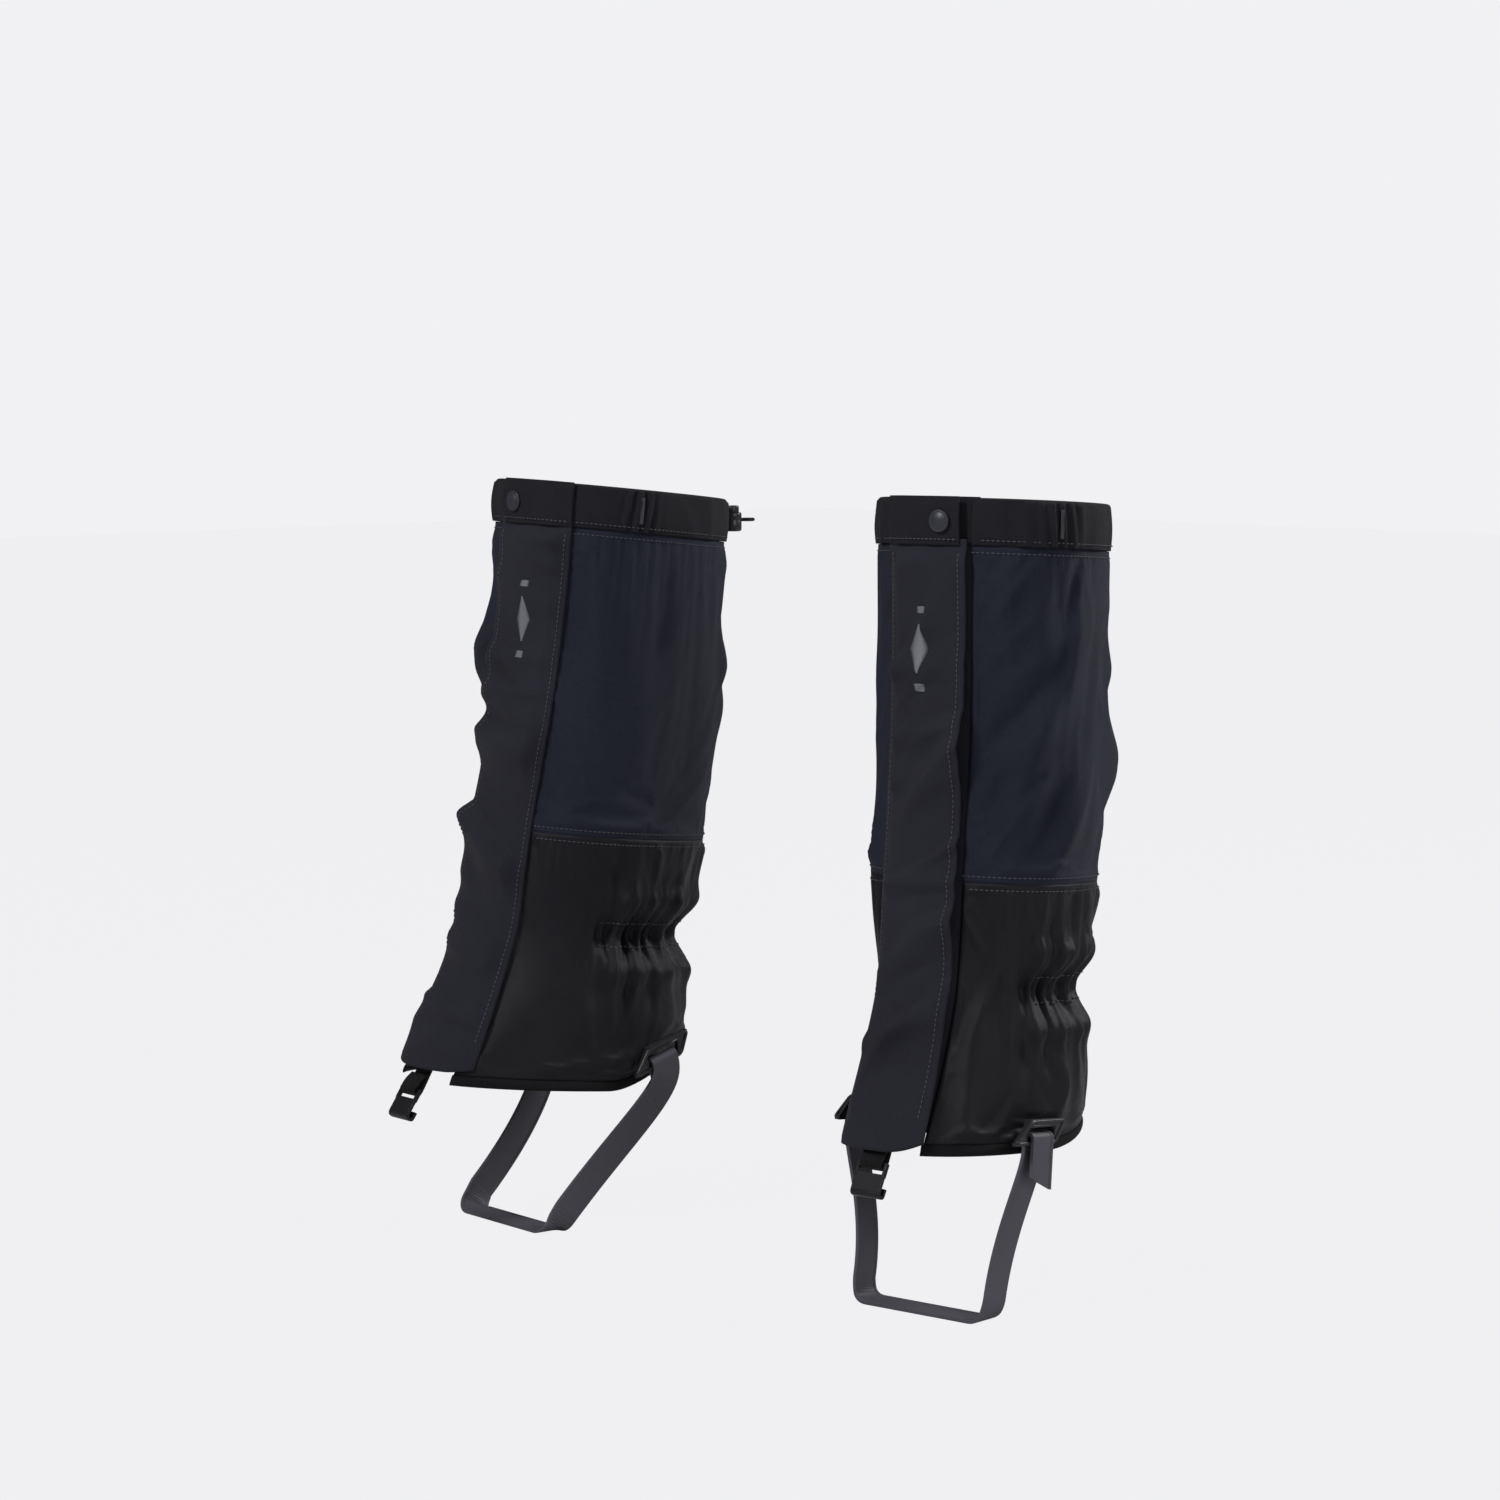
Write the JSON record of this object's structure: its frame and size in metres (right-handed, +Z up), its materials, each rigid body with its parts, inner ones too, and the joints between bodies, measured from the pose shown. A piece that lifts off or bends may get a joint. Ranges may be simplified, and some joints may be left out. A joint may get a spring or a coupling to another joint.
{
  "type": "gaiters",
  "caption": "Pair of tall front-opening hiking gaiters with cuffed tops, gathered ankles, hook-and-loop front flaps, lace hooks and instep straps.",
  "frame": {"origin": "on the level of the instep straps' underside, below the middle of the pair", "axes": "+Z up, -Y forward as worn, +X towards the wearer's left leg"},
  "size_m": [0.5224, 0.277, 0.5111],
  "materials": {
    "navy_cloth": "matte woven cloth",
    "black_cloth": "smooth woven cloth with a soft sheen",
    "charcoal_cloth": "matte stiffened cloth",
    "cuff_cloth": "matte folded cloth",
    "binding": "ribbed binding tape",
    "elastic": "woven elastic",
    "fastening_tape": "hook and loop tape",
    "cord": "braided elastic cord",
    "strap_rubber": "matte moulded strap",
    "moulded_plastic": "satin moulding",
    "snap_metal": "satin enamelled metal",
    "spring_steel": "plain wire",
    "webbing": "woven webbing",
    "hook_metal": "black coated metal"
  },
  "bodies": {
    "left_gaiter": {"left_upper_shell": "navy_cloth", "left_lower_shell": "black_cloth", "left_hem_binding": "binding", "left_ankle_elastic": "elastic", "left_underlap": "charcoal_cloth", "left_hook_tape": "fastening_tape", "left_cuff_band": "cuff_cloth", "left_cuff_underlap": "cuff_cloth", "left_snap_stud": "snap_metal", "left_snap_back": "snap_metal", "left_drawcord": "cord", "left_cord_lock_body": "moulded_plastic", "left_cord_lock_spring": "spring_steel", "left_outer_ring": "moulded_plastic", "left_inner_ring": "moulded_plastic", "left_hook_webbing": "webbing"},
    "left_flap": {"left_front_flap": "charcoal_cloth", "left_loop_tape": "fastening_tape", "left_cuff_flap_tab": "cuff_cloth", "left_snap_cap": "snap_metal", "left_snap_socket": "snap_metal"},
    "left_strap": {"left_instep_strap": "strap_rubber"},
    "left_hook": {"left_lace_hook": "hook_metal"},
    "left_lock_button": {"left_cord_lock_button": "moulded_plastic"},
    "right_gaiter": {"right_upper_shell": "navy_cloth", "right_lower_shell": "black_cloth", "right_hem_binding": "binding", "right_ankle_elastic": "elastic", "right_underlap": "charcoal_cloth", "right_hook_tape": "fastening_tape", "right_cuff_band": "cuff_cloth", "right_cuff_underlap": "cuff_cloth", "right_snap_stud": "snap_metal", "right_snap_back": "snap_metal", "right_drawcord": "cord", "right_cord_lock_body": "moulded_plastic", "right_cord_lock_spring": "spring_steel", "right_outer_ring": "moulded_plastic", "right_inner_ring": "moulded_plastic", "right_hook_webbing": "webbing"},
    "right_flap": {"right_front_flap": "charcoal_cloth", "right_loop_tape": "fastening_tape", "right_cuff_flap_tab": "cuff_cloth", "right_snap_cap": "snap_metal", "right_snap_socket": "snap_metal"},
    "right_strap": {"right_instep_strap": "strap_rubber"},
    "right_hook": {"right_lace_hook": "hook_metal"},
    "right_lock_button": {"right_cord_lock_button": "moulded_plastic"}
  },
  "joints": [
    {"name": "pair_spread", "type": "slide", "parent": "left_gaiter", "child": "right_gaiter", "axis": [-1, 0, 0], "range_m": [0, 0.2]},
    {"name": "left_flap_open", "type": "hinge", "parent": "left_gaiter", "child": "left_flap", "pos_m": [0.14393, -0.02014, 0.49277], "axis": [0.0217, -0.0863, -0.996], "range_deg": [0, 100]},
    {"name": "left_strap_swing", "type": "hinge", "parent": "left_gaiter", "child": "left_strap", "pos_m": [0.18574, -0.0134, 0.11272], "axis": [-0.9945, -0.1045, 0], "range_deg": [-12, 12]},
    {"name": "left_hook_swing", "type": "hinge", "parent": "left_gaiter", "child": "left_hook", "pos_m": [0.1936, -0.08766, 0.10184], "axis": [-0.9945, -0.105, 0], "range_deg": [-10, 45]},
    {"name": "left_lock_press", "type": "slide", "parent": "left_gaiter", "child": "left_lock_button", "axis": [0, 0, -1], "range_m": [0, 0.002], "stiffness_N_per_m": 300, "springref_m": -0.001, "deforming": ["left_cord_lock_spring"]},
    {"name": "right_flap_open", "type": "hinge", "parent": "right_gaiter", "child": "right_flap", "pos_m": [-0.13681, -0.02174, 0.49331], "axis": [0.0686, 0.156, 0.9854], "range_deg": [0, 100]},
    {"name": "right_strap_swing", "type": "hinge", "parent": "right_gaiter", "child": "right_strap", "pos_m": [-0.18649, 0.03226, 0.11272], "axis": [-0.9945, 0.1046, 0], "range_deg": [-12, 12]},
    {"name": "right_hook_swing", "type": "hinge", "parent": "right_gaiter", "child": "right_hook", "pos_m": [-0.20329, -0.1264, 0.10125], "axis": [-0.9945, 0.105, 0], "range_deg": [-10, 45]},
    {"name": "right_lock_press", "type": "slide", "parent": "right_gaiter", "child": "right_lock_button", "axis": [0.013, -0.005, -0.9999], "range_m": [0, 0.002], "stiffness_N_per_m": 300, "springref_m": -0.001, "deforming": ["right_cord_lock_spring"]}
  ]
}
